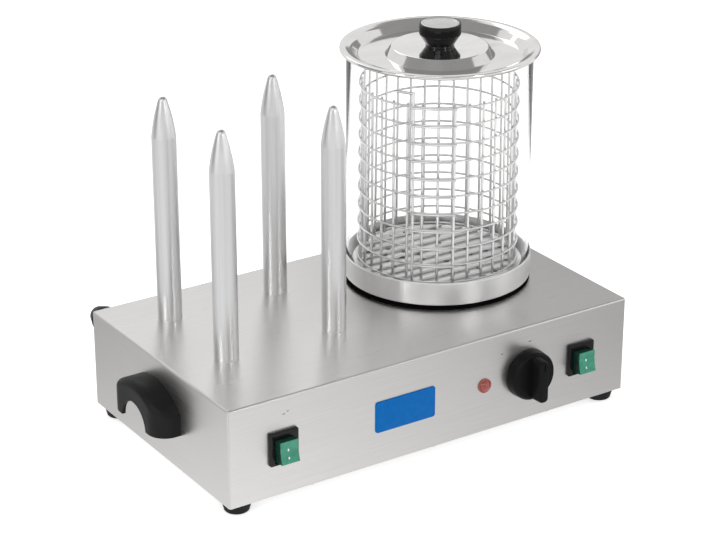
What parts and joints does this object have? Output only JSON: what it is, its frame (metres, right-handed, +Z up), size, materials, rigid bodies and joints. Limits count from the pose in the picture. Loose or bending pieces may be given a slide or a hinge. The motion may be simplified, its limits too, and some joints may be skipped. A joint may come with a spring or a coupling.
{
  "type": "hot dog toaster",
  "caption": "Countertop hot dog warmer: steel box with heated bun spikes and a lidded glass steamer over a wire basket.",
  "frame": {"origin": "on the ground, at the centre of the bounding box", "axes": "+X to the right as the user faces the controls, +Y to the rear, +Z up"},
  "size_m": [0.554, 0.3416, 0.4095],
  "materials": {
    "sheet_steel": "brushed stainless sheet, satin",
    "zinc_steel": "zinc plated steel",
    "bare_aluminium": "turned aluminium, satin",
    "dish_steel": "spun, satin",
    "lid_steel": "polished stainless",
    "wire_chrome": "bright plated wire",
    "perforated_steel": "satin",
    "clear_glass": "clear, polished",
    "black_rubber": "matt",
    "black_plastic": "fine grain, satin",
    "switch_black": "glossy",
    "rocker_green": "translucent green, glossy",
    "lamp_red": "translucent red, glossy",
    "badge_blue": "flat printed blue",
    "cap_metal": "spun disc, satin",
    "ceramic": "matt, off white",
    "brass": "bright",
    "wire_insulation": "matt sleeve",
    "heater_sheath": "heat darkened steel"
  },
  "bodies": {
    "housing": {"housing_shell": "sheet_steel", "base_plate": "sheet_steel", "base_screws": "zinc_steel", "foot_front_left": "black_rubber", "foot_front_right": "black_rubber", "foot_rear_left": "black_rubber", "foot_rear_right": "black_rubber", "foot_screws": "zinc_steel", "foot_nuts": "zinc_steel", "spike_front_left": "bare_aluminium", "spike_front_right": "bare_aluminium", "spike_rear_left": "bare_aluminium", "spike_rear_right": "bare_aluminium", "spike_heaters": "heater_sheath", "spike_washers": "zinc_steel", "spike_nuts": "zinc_steel", "dish_gasket": "black_rubber", "water_dish": "dish_steel", "dish_nuts": "zinc_steel", "dish_heater": "heater_sheath", "heater_clamp_bar": "zinc_steel", "heater_clamp_nut": "zinc_steel", "thermal_cutout": "ceramic", "spike_switch_housing": "switch_black", "steamer_switch_housing": "switch_black", "switch_terminals": "brass", "lamp_lens": "lamp_red", "lamp_holder": "ceramic", "lamp_nut": "zinc_steel", "badge_plate": "badge_blue", "thermostat_body": "ceramic", "thermostat_screws": "zinc_steel", "thermostat_bulb": "brass", "thermostat_capillary": "brass", "left_handle": "black_plastic", "right_handle": "black_plastic", "handle_screws": "zinc_steel", "cable_gland": "black_plastic", "gland_nut": "black_plastic", "terminal_block": "ceramic", "terminal_screws": "brass", "terminal_fixings": "zinc_steel", "earth_stud": "brass", "earth_nut": "brass", "wiring": "wire_insulation"},
    "spike_rocker": {"spike_switch_rocker": "rocker_green"},
    "steamer_rocker": {"steamer_switch_rocker": "rocker_green"},
    "thermostat_dial": {"thermostat_knob": "black_plastic", "thermostat_shaft": "zinc_steel"},
    "glass": {"glass_cylinder": "clear_glass"},
    "steam_plate_body": {"steam_plate": "perforated_steel"},
    "basket": {"basket_uprights": "wire_chrome", "basket_hoops": "wire_chrome", "basket_floor": "wire_chrome", "basket_handle": "wire_chrome"},
    "lid_assembly": {"lid": "lid_steel", "lid_knob": "black_plastic", "lid_knob_cap": "cap_metal", "lid_knob_screw": "zinc_steel"}
  },
  "joints": [
    {"name": "spike_rocker_tilt", "type": "hinge", "parent": "housing", "child": "spike_rocker", "pos_m": [-0.1875, -0.1367, 0.0627], "axis": [1, 0, 0], "range_deg": [0, 14]},
    {"name": "steamer_rocker_tilt", "type": "hinge", "parent": "housing", "child": "steamer_rocker", "pos_m": [0.1885, -0.1367, 0.0627], "axis": [1, 0, 0], "range_deg": [0, 14]},
    {"name": "thermostat_turn", "type": "hinge", "parent": "housing", "child": "thermostat_dial", "pos_m": [0.118, -0.1402, 0.0655], "axis": [0, 1, 0], "range_deg": [0, 270]},
    {"name": "glass_lift", "type": "slide", "parent": "housing", "child": "glass", "axis": [0, 0, 1], "range_m": [0, 0.06]},
    {"name": "steam_plate_lift", "type": "slide", "parent": "glass", "child": "steam_plate_body", "axis": [0, 0, 1], "range_m": [0, 0.26]},
    {"name": "basket_lift", "type": "slide", "parent": "steam_plate_body", "child": "basket", "axis": [0, 0, 1], "range_m": [0, 0.24]},
    {"name": "lid_lift", "type": "slide", "parent": "basket", "child": "lid_assembly", "axis": [0, 0, 1], "range_m": [0, 0.08]}
  ]
}
